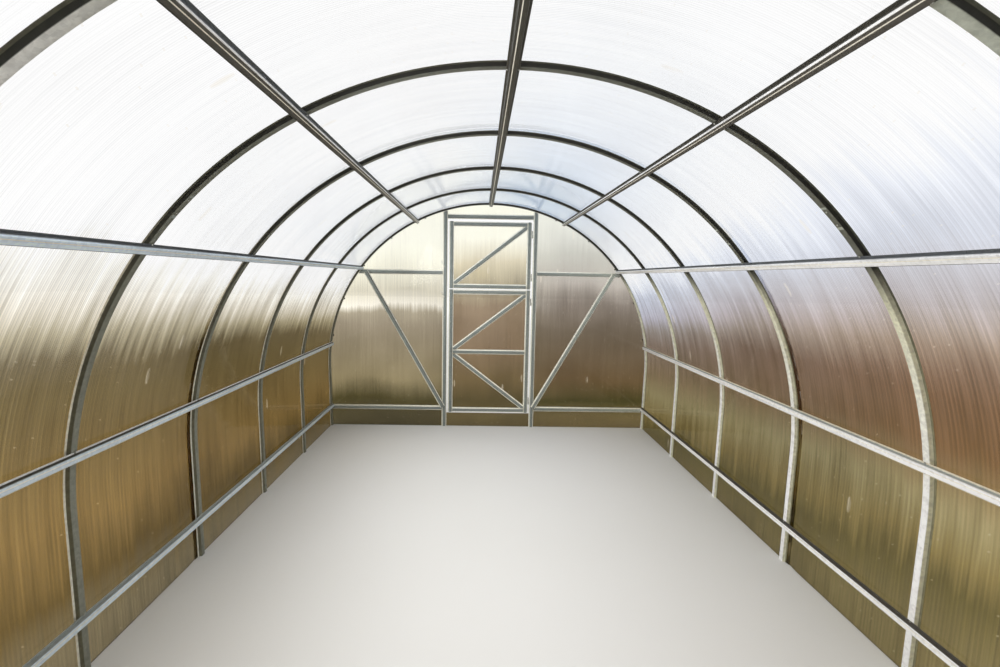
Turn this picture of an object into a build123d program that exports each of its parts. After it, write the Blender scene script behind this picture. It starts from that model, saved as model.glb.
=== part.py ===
from build123d import *
import math
import os

os.makedirs("parts", exist_ok=True)

# Polycarbonate greenhouse. Millimetres, X across, Y along the length, Z up.
# The origin is on the ground at the middle of the plan. The far end is at +Y.

# Overall sizes
span = 3000.0               # width over the roof sheets
height = 2100.0             # ground to the top of the roof sheets
bay = 2000.0 / 3            # arch to arch
bay_count = 6
leg_lean = 1.2              # degrees that each leg leans in towards the ground
roof_overhang = 30.0        # roof sheet past the centre of each end arch
roof_lap = 80.0             # the two roof sheets overlap by this much
lap_ramp = 60.0             # length over which the upper sheet climbs onto the lower one

# Twin-wall sheet and rolled hat section
sheet = 4.0                 # thickness of every sheet
hat_width = 44.0            # over both flanges
hat_crown = 24.0            # width of the flat crown
hat_depth = 15.0
hat_flange = 7.0
hat_gauge = 1.0             # steel thickness
seat = 0.3                  # what separates two pieces that are screwed together

# Arches: a crown piece between two side pieces, each bent in short straight steps
splice_angle = 46.0         # joints of the arch, from its top
crown_steps = 17
side_steps = 8
splice_gap = 0.5            # between the ends of two bars at a joint
sleeve_length = 100.0       # channel nested in both bars at a joint

# Purlins: angles from the top of the arch, and the height of the lowest pair
purlin_angles = {"roof": 27.0, "upper": 53.0, "middle": 83.0}
bottom_purlin_height = 190.0
purlin_stock = 3000.0       # the purlin's piece at the far end; the rest is a second piece

# End walls
post_spacing = 832.0        # centre to centre of the two doorway posts
lintel_drop = 125.0         # lintel's centre, down from the top of the roof
girt_drop = 640.0           # girts' centre, down from the top of the roof
bottom_rail_height = 175.0
sheet_bearing = 0.5         # gap where two wall sheets meet on a post
brace_top_inset = 46.0      # brace's upper end, measured in from the arch's crown
brace_foot_height = 190.0
brace_foot_inset = 12.0     # brace's lower end, measured out from the post's centre

# Doorway leaves
side_gap = 13.0             # between a leaf and its posts
leaf_bottom = 139.0
lower_leaf = 1167.0         # height of the lower leaf
leaf_parting = 8.0          # between the two leaves
head_gap = 22.0             # between the upper leaf and the lintel
middle_rail_rise = 580.0    # middle rail's centre, up from the leaf's bottom edge
sill_clearance = 10.0       # between the sill strip and the lower leaf
leaf_swing = 180.0          # the near leaves stand open by this much, against the wall

# Hinges
knuckle_radius = 4.5
knuckle_length = 34.0
pin_radius = 2.0
pin_play = 0.1
pin_rise = 28.0             # pin above the lower knuckle
hinge_sides = 8             # sides of the pins, their bores and the vents' knuckles
hinge_plate = (44.0, 1.5, 28.0)     # length across, thickness, height
hinge_edge = 110.0          # hinge centre from the top or bottom edge of its leaf
hinge_lift = 0.3            # gap between the lower and the upper knuckle

# Latch hooks on the posts
hook_rod = 3.0              # radius of the bent rod
hook_rise = 58.0
hook_reach = 36.0
hook_stand = 11.0           # rod's centre in from the post's crown
hook_sides = 6
hook_from_split = 204.0     # upper hook, up from the top of the lower leaf
hook_spacing = 278.0

# Worked out from the sizes above
roof_radius = span / 2
arch_centre = height - roof_radius
length = bay * bay_count
end_y = length / 2
arch_inset = sheet + seat               # roof surface to the arch's flanges
crown_inset = arch_inset + hat_depth    # roof surface to the arch's crown
half_step = max(splice_angle / crown_steps, (90 + leg_lean - splice_angle) / side_steps / 2)
crown_sag = (roof_radius - crown_inset) * (1 - math.cos(math.radians(half_step)))
bearing_inset = crown_inset + crown_sag + seat      # where pieces seat inside the stepped crown
wall_y = hat_width / 2                  # wall sheet's inner face from the end arch's centre
frame_y = wall_y - seat                 # flanges of the wall bars
crown_y = frame_y - hat_depth           # crowns of the wall bars
purlin_end = end_y + crown_y - seat     # purlins stop short of the wall bars
post_x = post_spacing / 2
opening_x = post_x - hat_width / 2
leaf_x = opening_x - side_gap
lintel_height = height - lintel_drop
girt_height = height - girt_drop
leaf_split = leaf_bottom + lower_leaf
middle_rail_height = leaf_bottom + middle_rail_rise
vent_bottom = leaf_split + leaf_parting
leaf_top = lintel_height - hat_width / 2 - head_gap
lean = math.radians(leg_lean)


def foot_x(inset):
    """Where the line of the arch, this far inside the roof surface, meets the ground."""
    radius = roof_radius - inset
    drop = arch_centre - radius * math.sin(lean)
    return radius * math.cos(lean) - drop * math.tan(lean)


def arch_line(inset, below=0.0):
    """The arch's line from the left foot, over the top, to the right foot."""
    radius = roof_radius - inset
    knee = (radius * math.cos(lean), arch_centre - radius * math.sin(lean))
    foot = foot_x(inset) - below * math.tan(lean)
    top = (0, 0, arch_centre + radius)
    left = Line((-foot, 0, -below), (-knee[0], 0, knee[1]))
    crown = ThreePointArc((-knee[0], 0, knee[1]), top, (knee[0], 0, knee[1]))
    right = Line((knee[0], 0, knee[1]), (foot, 0, -below))
    return Wire([left, crown, right])


def inside(inset, y_low, y_high):
    """Everything under the arch's line between two places along the length."""
    line = arch_line(inset)
    ground = Line((foot_x(inset), 0, 0), (-foot_x(inset), 0, 0))
    face = Face(Wire(line.edges() + [ground.edge()]))
    block = extrude(face, amount=y_high - y_low, dir=(0, 1, 0))
    return Pos(0, y_low, 0) * block


def section(points):
    """A closed section drawn with X across and Y outward, from its right half."""
    left = [(-x, y) for x, y in reversed(points)]
    return Wire.make_polygon([Vector(x, y, 0) for x, y in points + left])


def hat_section():
    """Flanges along the X axis and crown towards -Y, open on the flange side."""
    half = hat_width / 2
    shoulder = half - hat_flange
    crown = hat_crown / 2
    inner_depth = hat_depth - hat_gauge
    return section([
        (crown - hat_gauge, -inner_depth), (shoulder - hat_gauge, 0), (half, 0),
        (half, -hat_gauge), (shoulder, -hat_gauge), (crown, -hat_depth),
    ])


def sleeve_section():
    """A channel that nests in the hat's hollow."""
    top = hat_width / 2 - hat_flange - hat_gauge - seat
    low = hat_crown / 2 - hat_gauge - seat
    depth = hat_depth - hat_gauge - seat
    return section([
        (low - hat_gauge, hat_gauge - depth), (top - hat_gauge, -seat), (top, -seat), (low, -depth),
    ])


def straight(outline, start, end, outward):
    """A straight bar between two points on its flange plane, with its crown facing inward."""
    start = Vector(*start)
    run = Vector(*end) - start
    out = Vector(*outward)
    place = Plane(origin=start, x_dir=out.cross(run), z_dir=run)
    return extrude(Face(place.from_local_coords(outline)), amount=run.length, dir=run.normalized())


def rolled(outline, path):
    """A bar bent along a path that runs from left to right over the top."""
    place = Plane(origin=path @ 0, x_dir=(0, 1, 0), z_dir=path % 0)
    body = sweep(Face(place.from_local_coords(outline)), path=path, transition=Transition.RIGHT)
    return split(body, bisect_by=Plane.XY, keep=Keep.TOP).solid()


def bend(start_angle, end_angle, steps):
    """Points on the flange line of an arch, at equal steps of the angle from its top."""
    radius = roof_radius - arch_inset
    turns = [math.radians(start_angle + (end_angle - start_angle) * n / steps) for n in range(steps + 1)]
    return [Vector(radius * math.sin(t), 0, arch_centre + radius * math.cos(t)) for t in turns]


def arch_pieces():
    """Left side piece, crown piece and right side piece, ending half a gap from each joint."""
    crown = bend(-splice_angle, splice_angle, crown_steps)
    side = bend(splice_angle, 90 + leg_lean, side_steps)
    side.append(Vector(foot_x(arch_inset) - hat_width * math.tan(lean), 0, -hat_width))
    crown_step = (crown[1] - crown[0]).normalized()
    side_step = (side[1] - side[0]).normalized()
    crown[0] = crown[0] + crown_step * (splice_gap / 2)
    crown[-1] = Vector(-crown[0].X, 0, crown[0].Z)
    side[0] = side[0] + side_step * (splice_gap / 2)
    right = rolled(hat_section(), Polyline(*side))
    return [mirror(right, about=Plane.YZ), rolled(hat_section(), Polyline(*crown)), right]


def arch_splice():
    """The sleeve at the right-hand joint, along the last step before it and the first after."""
    joint, after = bend(splice_angle, 90 + leg_lean, side_steps)[:2]
    before = bend(-splice_angle, splice_angle, crown_steps)[-2]
    reach = sleeve_length / 2
    start = joint + (before - joint).normalized() * reach
    end = joint + (after - joint).normalized() * reach
    return rolled(sleeve_section(), Polyline(start, joint, end))


def swept_sheet(outline):
    """Sweep a sheet's outline, drawn with X along the length and Y outward, over the arches."""
    line = arch_line(0, below=hat_width)
    place = Plane(origin=line @ 0, x_dir=(0, 1, 0), z_dir=line % 0)
    body = sweep(Face(place.from_local_coords(outline)), path=line)
    return split(body, bisect_by=Plane.XY, keep=Keep.TOP)


def far_roof_sheet():
    """The lower of the two roof sheets, drawn from the lap to past the far end."""
    low, high = -roof_lap / 2, end_y + roof_overhang
    corners = [(low, 0), (high, 0), (high, -sheet), (low, -sheet)]
    outline = Wire.make_polygon([Vector(x, y, 0) for x, y in corners])
    return swept_sheet(outline)


def near_roof_sheet():
    """The upper roof sheet, joggled so that it lies on the lower one at the lap."""
    low, high = -(end_y + roof_overhang), roof_lap / 2
    ramp_end = -roof_lap / 2 - seat
    ramp = ramp_end - lap_ramp
    rise = sheet + seat
    corners = [
        (low, 0), (ramp, 0), (ramp_end, rise), (high, rise),
        (high, rise - sheet), (ramp_end, rise - sheet), (ramp, -sheet), (low, -sheet),
    ]
    outline = Wire.make_polygon([Vector(x, y, 0) for x, y in corners])
    return swept_sheet(outline)


def purlin(x, z, outward):
    """A purlin in two pieces, and the sleeve at their joint, seated at a point inside the arches."""
    joint = purlin_end - purlin_stock
    far_part = straight(hat_section(), (x, joint + splice_gap / 2, z), (x, purlin_end, z), outward)
    near_part = straight(hat_section(), (x, -purlin_end, z), (x, joint - splice_gap / 2, z), outward)
    reach = sleeve_length / 2
    sleeve = straight(sleeve_section(), (x, joint - reach, z), (x, joint + reach, z), outward)
    return [far_part, near_part], sleeve


def roof_purlin(angle):
    """A purlin at an angle from the top, on the flat steps of the arches' crowns."""
    reach = math.sqrt((roof_radius - bearing_inset) ** 2 - (hat_width / 2) ** 2)
    turn = math.radians(angle)
    x, z = reach * math.sin(turn), arch_centre + reach * math.cos(turn)
    return purlin(x, z, (math.sin(turn), 0, math.cos(turn)))


def leg_purlin(side):
    """The lowest purlin, seated on the straight legs."""
    x = foot_x(crown_inset) + bottom_purlin_height * math.tan(lean) - seat / math.cos(lean)
    return purlin(side * x, bottom_purlin_height, (side * math.cos(lean), 0, -math.sin(lean)))


# The far end is modelled, and the near end is the same end turned half round.

def near_end(shape):
    return shape.rotate(Axis.Z, 180)


def both_ends(solids):
    return Compound(children=solids + [near_end(s) for s in solids])


def wall_bar(x_low, z_low, x_high, z_high, y=frame_y):
    """A bar of the far wall, with its flanges facing outward."""
    start, end = (x_low, end_y + y, z_low), (x_high, end_y + y, z_high)
    return straight(hat_section(), start, end, (0, 1, 0))


def wall_trim():
    """The room inside the end arch's crown, where the wall's bars may reach."""
    return inside(bearing_inset, end_y - hat_width, end_y + hat_width)


def post(side):
    bar = wall_bar(side * post_x, 0, side * post_x, height)
    return (bar & wall_trim()).solid()


def side_bar(side, z):
    """A level bar from a post out to the arch."""
    start = post_x + hat_width / 2 + seat
    bar = wall_bar(side * start, z, side * roof_radius, z)
    return (bar & wall_trim()).solid()


def lintel():
    reach = opening_x - seat
    return wall_bar(-reach, lintel_height, reach, lintel_height)


def brace(side):
    """A diagonal that lies on the crowns of the girt and the bottom rail."""
    radius = roof_radius - crown_inset - brace_top_inset
    top_x = math.sqrt(radius ** 2 - (girt_height - arch_centre) ** 2)
    foot = post_x + brace_foot_inset
    plane_y = crown_y - seat
    return wall_bar(side * foot, brace_foot_height, side * top_x, girt_height, plane_y)


def wall_panel(x_low, z_low, x_high, z_high):
    """A wall sheet between these limits, cut to the arch."""
    block = Box(x_high - x_low, sheet, z_high - z_low, align=(Align.MIN, Align.MIN, Align.MIN))
    block = Pos(x_low, end_y + wall_y, z_low) * block
    return (block & inside(arch_inset, end_y, end_y + 2 * hat_width)).solid()


def far_wall(side):
    edge = opening_x + hat_flange + sheet_bearing
    if side > 0:
        return wall_panel(edge, 0, roof_radius, height)
    return wall_panel(-roof_radius, 0, -edge, height)


def head_sheet():
    reach = opening_x + hat_flange
    return wall_panel(-reach, lintel_height - hat_width / 2, reach, height)


def sill_sheet():
    reach = opening_x + hat_flange
    return wall_panel(-reach, 0, reach, leaf_bottom - sill_clearance)


# Leaves, drawn closed in the far doorway

def leaf_frame(z_low, z_high, rails, diagonals):
    """Stiles, rails and diagonals of one leaf. A diagonal runs from left to right."""
    half = hat_width / 2
    stile_x = leaf_x - half
    reach = stile_x - half - seat
    bars = [wall_bar(s * stile_x, z_low, s * stile_x, z_high) for s in (-1, 1)]
    bars += [wall_bar(-reach, z, reach, z) for z in rails]
    for z_left, z_right in diagonals:
        rise = z_right - z_left
        room_low = min(z_left, z_right) + half + seat
        room_high = max(z_left, z_right) - half - seat
        room = Box(2 * reach, 2 * hat_width, room_high - room_low)
        room = Pos(0, end_y, (room_low + room_high) / 2) * room
        slope = rise / (2 * reach)
        bar = wall_bar(-leaf_x, z_left - slope * side_gap, leaf_x, z_right + slope * side_gap)
        bars.append((bar & room).solid())
    return bars


def leaf_sheet(z_low, z_high):
    block = Box(2 * leaf_x, sheet, z_high - z_low, align=(Align.CENTER, Align.MIN, Align.MIN))
    return Pos(0, end_y + wall_y, z_low) * block


hinge_x = opening_x - side_gap / 2
hinge_y = end_y + wall_y + sheet + knuckle_radius + seat
pin = RegularPolygon(pin_radius, hinge_sides)
bore = RegularPolygon(pin_radius + pin_play, hinge_sides, major_radius=False)
knuckles = {
    "door": Circle(knuckle_radius),
    "vent": RegularPolygon(knuckle_radius, hinge_sides, major_radius=False),
}


def on_axis(outline, length, bottom):
    """An upright rod of this outline on the hinge's axis."""
    return Pos(hinge_x, hinge_y, bottom) * extrude(outline, amount=length)


def hinge_half(z, knuckle, on_leaf):
    """Half of a lift-off hinge: the lower one on the wall with its pin, the upper on the leaf."""
    across, thick, tall = hinge_plate
    foot = z + hinge_lift / 2 if on_leaf else z - hinge_lift / 2 - knuckle_length
    plate = Box(across, thick, tall, align=(Align.MIN, Align.MIN, Align.CENTER))
    left = hinge_x - across if on_leaf else hinge_x
    plate = Pos(left, hinge_y - knuckle_radius, foot + knuckle_length / 2) * plate
    body = on_axis(knuckle, knuckle_length, foot) + plate
    if on_leaf:
        return (body - on_axis(bore, knuckle_length, foot)).solid()
    return (body + on_axis(pin, knuckle_length + pin_rise, foot)).solid()


def hinge_heights(z_low, z_high):
    return [z_low + hinge_edge, z_high - hinge_edge]


def latch_hook(z):
    """A bent rod on the latch post: one end on the crown, the other leaning up and away."""
    x = -post_x
    y = end_y + crown_y
    points = [
        (x, y - seat, z),
        (x, y - hook_stand, z),
        (x - hook_reach, y - hook_stand, z + hook_rise),
    ]
    start = Plane(origin=points[0], z_dir=(0, -1, 0))
    rod = RegularPolygon(hook_rod, hook_sides)
    return sweep(start * rod, path=Polyline(*points), transition=Transition.RIGHT).solid()


half_rail = hat_width / 2
bottom_rail, top_rail = leaf_bottom + half_rail, leaf_split - half_rail
vent_rails = [vent_bottom + half_rail, leaf_top - half_rail]
leaves = {
    "door": {
        "reach": (leaf_bottom, leaf_split),
        "rails": [bottom_rail, middle_rail_height, top_rail],
        "diagonals": [(middle_rail_height, top_rail), (middle_rail_height, bottom_rail)],
    },
    "vent": {"reach": (vent_bottom, leaf_top), "rails": vent_rails, "diagonals": [vent_rails]},
}

nodes = {}
arch_places = [end_y - number * bay for number in range(bay_count + 1)]
for number, y in enumerate(reversed(arch_places)):
    nodes[f"arch_{number + 1}"] = Compound(children=[Pos(0, y, 0) * s for s in arch_pieces()])
splices = [arch_splice(), mirror(arch_splice(), about=Plane.YZ)]
nodes["arch_sleeves"] = Compound(children=[Pos(0, y, 0) * s for y in arch_places for s in splices])

purlins = {
    "ridge_purlin": roof_purlin(0),
    "bottom_purlin_left": leg_purlin(-1),
    "bottom_purlin_right": leg_purlin(1),
}
for name, angle in purlin_angles.items():
    purlins[f"{name}_purlin_left"] = roof_purlin(-angle)
    purlins[f"{name}_purlin_right"] = roof_purlin(angle)
for name, (parts, sleeve) in purlins.items():
    nodes[name] = Compound(children=parts)
nodes["purlin_sleeves"] = Compound(children=[sleeve for parts, sleeve in purlins.values()])
nodes["far_roof_sheet"] = far_roof_sheet()
nodes["near_roof_sheet"] = near_roof_sheet()

nodes["doorway_posts"] = both_ends([post(-1), post(1)])
nodes["lintels"] = both_ends([lintel()])
nodes["girts"] = both_ends([side_bar(s, girt_height) for s in (-1, 1)])
nodes["bottom_rails"] = both_ends([side_bar(s, bottom_rail_height) for s in (-1, 1)])
nodes["wall_braces"] = both_ends([brace(-1), brace(1)])
nodes["far_wall_left"] = far_wall(-1)
nodes["far_wall_right"] = far_wall(1)
nodes["near_wall_left"] = near_end(far_wall(1))
nodes["near_wall_right"] = near_end(far_wall(-1))
nodes["head_sheets"] = both_ends([head_sheet()])
nodes["sill_sheets"] = both_ends([sill_sheet()])

seats = []
near_hinge = Axis((-hinge_x, -hinge_y, 0), (0, 0, -1))
for name, leaf in leaves.items():
    heights = hinge_heights(*leaf["reach"])
    seats += [hinge_half(z, knuckles[name], on_leaf=False) for z in heights]
    closed = {
        "frame": Compound(children=leaf_frame(*leaf["reach"], leaf["rails"], leaf["diagonals"])),
        "sheet": leaf_sheet(*leaf["reach"]),
        "hinges": Compound(children=[hinge_half(z, knuckles[name], on_leaf=True) for z in heights]),
    }
    for piece, shape in closed.items():
        nodes[f"far_{name}_{piece}"] = shape
        nodes[f"near_{name}_{piece}"] = near_end(shape).rotate(near_hinge, leaf_swing)
nodes["hinge_seats"] = both_ends(seats)
hook_top = leaf_split + hook_from_split
nodes["latch_hooks"] = both_ends([latch_hook(hook_top), latch_hook(hook_top - hook_spacing)])

for name, shape in nodes.items():
    export_step(shape, f"parts/{name}.step")
    print(name, round(shape.volume), "mm3")
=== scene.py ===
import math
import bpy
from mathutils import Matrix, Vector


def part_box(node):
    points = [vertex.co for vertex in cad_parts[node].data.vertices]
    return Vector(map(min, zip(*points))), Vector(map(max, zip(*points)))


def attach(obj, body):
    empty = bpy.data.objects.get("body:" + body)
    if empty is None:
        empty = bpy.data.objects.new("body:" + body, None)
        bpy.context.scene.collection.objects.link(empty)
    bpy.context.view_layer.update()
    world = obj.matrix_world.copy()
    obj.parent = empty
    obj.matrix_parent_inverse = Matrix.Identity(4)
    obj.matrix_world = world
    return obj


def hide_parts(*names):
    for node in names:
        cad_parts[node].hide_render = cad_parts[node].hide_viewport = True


bl_info = {
    "name": "Polycarbonate greenhouse",
    "version": (1, 0, 0),
    "blender": (4, 5, 0),
    "location": "View3D > Sidebar > Greenhouse",
    "description": "Finishes a tunnel greenhouse: arches, bars, twin-wall sheets, screws and a plain stage",
    "category": "Object",
}

import bmesh
import bpy
from bpy.props import FloatProperty, FloatVectorProperty, IntProperty, PointerProperty
from mathutils import Matrix, Vector

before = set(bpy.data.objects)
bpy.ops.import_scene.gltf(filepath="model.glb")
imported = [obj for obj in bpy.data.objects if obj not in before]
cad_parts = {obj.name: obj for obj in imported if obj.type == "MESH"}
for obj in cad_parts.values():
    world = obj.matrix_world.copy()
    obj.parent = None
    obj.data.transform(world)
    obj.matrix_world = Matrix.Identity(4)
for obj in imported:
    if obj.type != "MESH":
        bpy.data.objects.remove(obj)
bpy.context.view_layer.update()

MM = 0.001

# What the frame says of the house, in metres. The roof is a half circle on short legs that lean in
SHEET_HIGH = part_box("far_roof_sheet")[1]
ROOF_RADIUS = SHEET_HIGH.x
ROOF_CENTRE = SHEET_HIGH.z - ROOF_RADIUS
ARCHES = [f"arch_{n + 1}" for n in range(7)]
ARCH_PLACES = [(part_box(name)[0].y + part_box(name)[1].y) / 2 for name in ARCHES]
PURLINS = [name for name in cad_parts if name.endswith(("purlin", "purlin_left", "purlin_right"))]
SHEET_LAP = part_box("near_roof_sheet")[1].x - ROOF_RADIUS
# Radius of the inner faces of the purlins' flanges, which are 1 mm thick
PURLIN_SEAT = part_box("ridge_purlin")[1].z - ROOF_CENTRE - MM


def linear(hex_colour):
    """An sRGB hex colour as linear RGBA."""
    parts = [int(hex_colour[i:i + 2], 16) / 255 for i in (1, 3, 5)]
    return [p / 12.92 if p <= 0.04045 else ((p + 0.055) / 1.055) ** 2.4 for p in parts] + [1.0]


def add(tree, kind, inputs=None, **settings):
    """Add a node with its settings. An input is a value, or the socket that feeds it."""
    made = tree.nodes.new(kind)
    for name, value in settings.items():
        setattr(made, name, value)
    for key, value in (inputs or {}).items():
        if isinstance(value, bpy.types.NodeSocket):
            tree.links.new(value, made.inputs[key])
        else:
            made.inputs[key].default_value = value
    return made


def new_material(name):
    material = bpy.data.materials.new(name)
    material.use_nodes = True
    material.node_tree.nodes.clear()
    return material, material.node_tree


def maths(tree, operation, *values):
    made = add(tree, "ShaderNodeMath", dict(enumerate(values)), operation=operation)
    return made.outputs[0]


def times(tree, first, second):
    return maths(tree, "MULTIPLY", first, second)


def plus(tree, first, second):
    return maths(tree, "ADD", first, second)


def ramp(tree, factor, stops):
    """A colour ramp through (position, sRGB hex) stops."""
    made = add(tree, "ShaderNodeValToRGB", {"Fac": factor})
    elements = made.color_ramp.elements
    while len(elements) < len(stops):
        elements.new(1.0)
    for element, (position, colour) in zip(elements, stops):
        element.position = position
        element.color = linear(colour)
    return made.outputs["Color"]


def finish_surface(tree, shader):
    add(tree, "ShaderNodeOutputMaterial", {"Surface": shader.outputs[0]})


def length(name, description, default):
    return FloatProperty(name=name, description=description, default=default, unit="LENGTH")


def angle(name, description, degrees):
    return FloatProperty(
        name=name, description=description, default=math.radians(degrees), subtype="ANGLE")


class GreenhouseSteel(bpy.types.PropertyGroup):
    """The rolled hat section and its zinc coat."""
    width: length("Width", "Over both flanges", 0.044)
    crown: length("Crown", "Width of the flat crown", 0.024)
    depth: length("Depth", "Flanges to crown", 0.015)
    flange: length("Flange", "Width of one flange", 0.007)
    gauge: length("Gauge", "Steel thickness", 0.001)
    bend: length("Bend", "Inside radius of the rolled bends", 0.0012)
    inset: length("Inset", "Roof surface to the arch's flanges", 0.0043)
    joint_angle: angle("Joint angle", "Joints of the arch, from its top", 46)
    lean: angle("Lean", "How far each leg leans in", 1.2)
    joint_gap: length("Joint gap", "Between two bars", 0.0005)
    step: angle("Step", "Turn between two rings of the arch's mesh", 1.6)
    edge: length("Edge", "Rounding of the bars' edges", 0.0006)
    crimp: length("Crimp", "Spacing of the roller's marks on the arches", 0.006)


class GreenhouseSheet(bpy.types.PropertyGroup):
    """The twin-wall polycarbonate: two thin skins round air, which hardly bend light."""
    rib: length("Rib pitch", "Spacing of the ribs", 0.007)
    haze: FloatProperty(name="Haze", description="Roughness of the faces", default=0.12, min=0, max=1)
    ior: FloatProperty(name="IOR", description="Refraction of the hollow sheet", default=1.03, min=1, max=2)
    streak: length("Streak", "Width of the streaks of dust along the ribs", 0.009)
    clear_low: FloatProperty(
        name="Clear low", description="Share that the outer face lets through near the ground", default=0.7)
    clear_high: FloatProperty(
        name="Clear high", description="Share that the outer face lets through overhead", default=0.9)
    cover_inside: FloatProperty(
        name="Cover inside", description="How much the inner face covers what is behind it, overhead",
        default=0.6)
    cover_outside: FloatProperty(
        name="Cover outside", description="How much the outer face covers what is behind it, overhead",
        default=0.15)


class GreenhouseScrews(bpy.types.PropertyGroup):
    """Self-drilling screws."""
    head: length("Head", "Radius of a pan head", 0.0034)
    rise: length("Rise", "Height of a pan head", 0.0022)
    washer: length("Washer", "Radius of a rubber washer", 0.008)
    pad: length("Pad", "Thickness of a rubber washer", 0.0018)
    flange: length("Flange", "Middle of a bar to the screws on its flange", 0.0185)
    sides: IntProperty(name="Sides", description="Facets round a head", default=12, min=6)


class GreenhouseStage(bpy.types.PropertyGroup):
    """Camera, floor and light."""
    eye: FloatVectorProperty(
        name="Eye", description="Camera's place", default=(-0.0959, -2.153, 1.4149), subtype="XYZ")
    yaw: angle("Yaw", "Turn to the left", -0.643)
    pitch: angle("Pitch", "Tilt down", 5.157)
    roll: angle("Roll", "Turn about the view", 0.939)
    lens: FloatProperty(name="Lens", description="Focal length on a 36 mm sensor, in mm", default=16.07)
    shift_x: FloatProperty(name="Shift X", description="Lens shift", default=0.0161)
    shift_y: FloatProperty(name="Shift Y", description="Lens shift", default=-0.0152)
    level: FloatProperty(name="Level", description="Strength of the world's light", default=0.75)
    lamp: FloatProperty(name="Lamp", description="Power of the overhead lamp, in watts", default=300.0)
    side_lamp: FloatProperty(name="Side lamp", description="Power of the lamp inside, in watts", default=24.0)


class GreenhouseSettings(bpy.types.PropertyGroup):
    """Everything that can be set on the greenhouse."""
    steel: PointerProperty(type=GreenhouseSteel)
    sheet: PointerProperty(type=GreenhouseSheet)
    screws: PointerProperty(type=GreenhouseScrews)
    stage: PointerProperty(type=GreenhouseStage)


def settings():
    return bpy.context.scene.greenhouse


# Materials

def outward_share(tree, place, normal):
    """How squarely a face looks out of the tunnel: 1 on the outer side, -1 on the inner one."""
    above = maths(tree, "MAXIMUM", maths(tree, "SUBTRACT", place.outputs["Z"], ROOF_CENTRE), 0.0)
    out = add(tree, "ShaderNodeCombineXYZ", {"X": place.outputs["X"], "Z": above})
    out = add(tree, "ShaderNodeVectorMath", {0: out.outputs[0]}, operation="NORMALIZE")
    dot = add(tree, "ShaderNodeVectorMath", {0: out.outputs[0], 1: normal}, operation="DOT_PRODUCT")
    return dot.outputs["Value"]


def span(tree, value, low, high, to_low=0.0, to_high=1.0):
    """Map a value from one span to another, and hold it at the ends."""
    made = add(tree, "ShaderNodeMapRange", {
        "Value": value, "From Min": low, "From Max": high, "To Min": to_low, "To Max": to_high})
    return made.outputs[0]


def blend(tree, factor, first, second):
    made = add(tree, "ShaderNodeMix", {"Factor": factor, "A": first, "B": second}, data_type="RGBA")
    return made.outputs["Result"]


def scale(tree, colour, by):
    """Multiply a colour by a value or by another colour."""
    made = add(tree, "ShaderNodeVectorMath", {0: colour, 1: by}, operation="MULTIPLY")
    return made.outputs[0]


def galvanised_steel(name, grain, tones, crimped=False):
    """Hot-dip galvanised strip, cold rolled into a hat: dull zinc with a faint spangle and fine streaks
    along the roll. `grain` is the streaks' scale along each axis. `tones` makes the colour of the faces
    from the tree, a place and a normal."""
    material, tree = new_material(name)
    coordinates = add(tree, "ShaderNodeTexCoord")
    spot = coordinates.outputs["Object"]
    place = add(tree, "ShaderNodeSeparateXYZ", {"Vector": spot})
    streak_place = add(tree, "ShaderNodeVectorMath", {0: spot, 1: grain}, operation="MULTIPLY")
    streaks = add(tree, "ShaderNodeTexNoise", {
        "Vector": streak_place.outputs[0], "Scale": 1.0, "Detail": 3.0})
    # Zinc spangle, 9 mm crystals
    spangle = add(tree, "ShaderNodeTexVoronoi", {"Vector": spot, "Scale": 1 / (9 * MM)})
    crystal = add(tree, "ShaderNodeSeparateColor", {"Color": spangle.outputs["Color"]})
    patchy = plus(tree, times(tree, streaks.outputs["Fac"], 0.8), times(tree, crystal.outputs[0], 0.2))
    colour = tones(tree, place, coordinates.outputs["Normal"])
    colour = scale(tree, colour, span(tree, patchy, 0.3, 0.7, 0.8, 1.14))
    rough = span(tree, patchy, 0.3, 0.7, 0.38, 0.52)
    height = streaks.outputs["Fac"]
    if crimped:
        rate = 2 * math.pi * ROOF_RADIUS / settings().steel.crimp
        crimps = maths(tree, "SINE", times(tree, arch_turn(tree, place), rate))
        height = plus(tree, times(tree, crimps, 0.5), height)
    bump = add(tree, "ShaderNodeBump", {"Height": height, "Strength": 0.35, "Distance": 0.3 * MM})
    shader = add(tree, "ShaderNodeBsdfPrincipled", {
        "Base Color": colour, "Metallic": 0.2, "Roughness": rough, "Normal": bump.outputs[0]})
    finish_surface(tree, shader)
    return material


def arch_turn(tree, place):
    """The turn about the arch's centre, from the top, positive to the right."""
    above = maths(tree, "SUBTRACT", place.outputs["Z"], ROOF_CENTRE)
    return maths(tree, "ARCTAN2", place.outputs["X"], above)


def hat_tones(tree, across, crown, webs, flanges):
    """Join the colours of a hat by the distance from its middle line. The first web and the first flange
    are on the negative side."""
    steel = settings().steel
    positive = maths(tree, "GREATER_THAN", across, 0.0)
    beyond = maths(tree, "ABSOLUTE", across)
    web_from, flange_from = steel.crown / 2, steel.width / 2 - steel.flange
    web = blend(tree, positive, *webs)
    flange = blend(tree, positive, *flanges)
    to_web = span(tree, beyond, web_from - 0.5 * MM, web_from + 0.5 * MM)
    to_flange = span(tree, beyond, flange_from - 0.3 * MM, flange_from + 0.3 * MM)
    return blend(tree, to_flange, blend(tree, to_web, crown, web), flange)


def arch_tones(crowns):
    """Tones of an arch with the given crowns, painted light and shade along the arc. The near flange is on
    the side of the near doorway.
    """
    def tones(tree, place, normal):
        turn = span(tree, arch_turn(tree, place), -math.pi / 2, math.pi / 2)
        crown, web, near, far = (
            ramp(tree, turn, stops) for stops in (crowns, PAINTED_ARCH_WEBS, PAINTED_NEAR_FLANGES, PAINTED_FAR_FLANGES))
        return hat_tones(tree, place.outputs["Y"], crown, (web, web), (near, far))
    return tones


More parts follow.
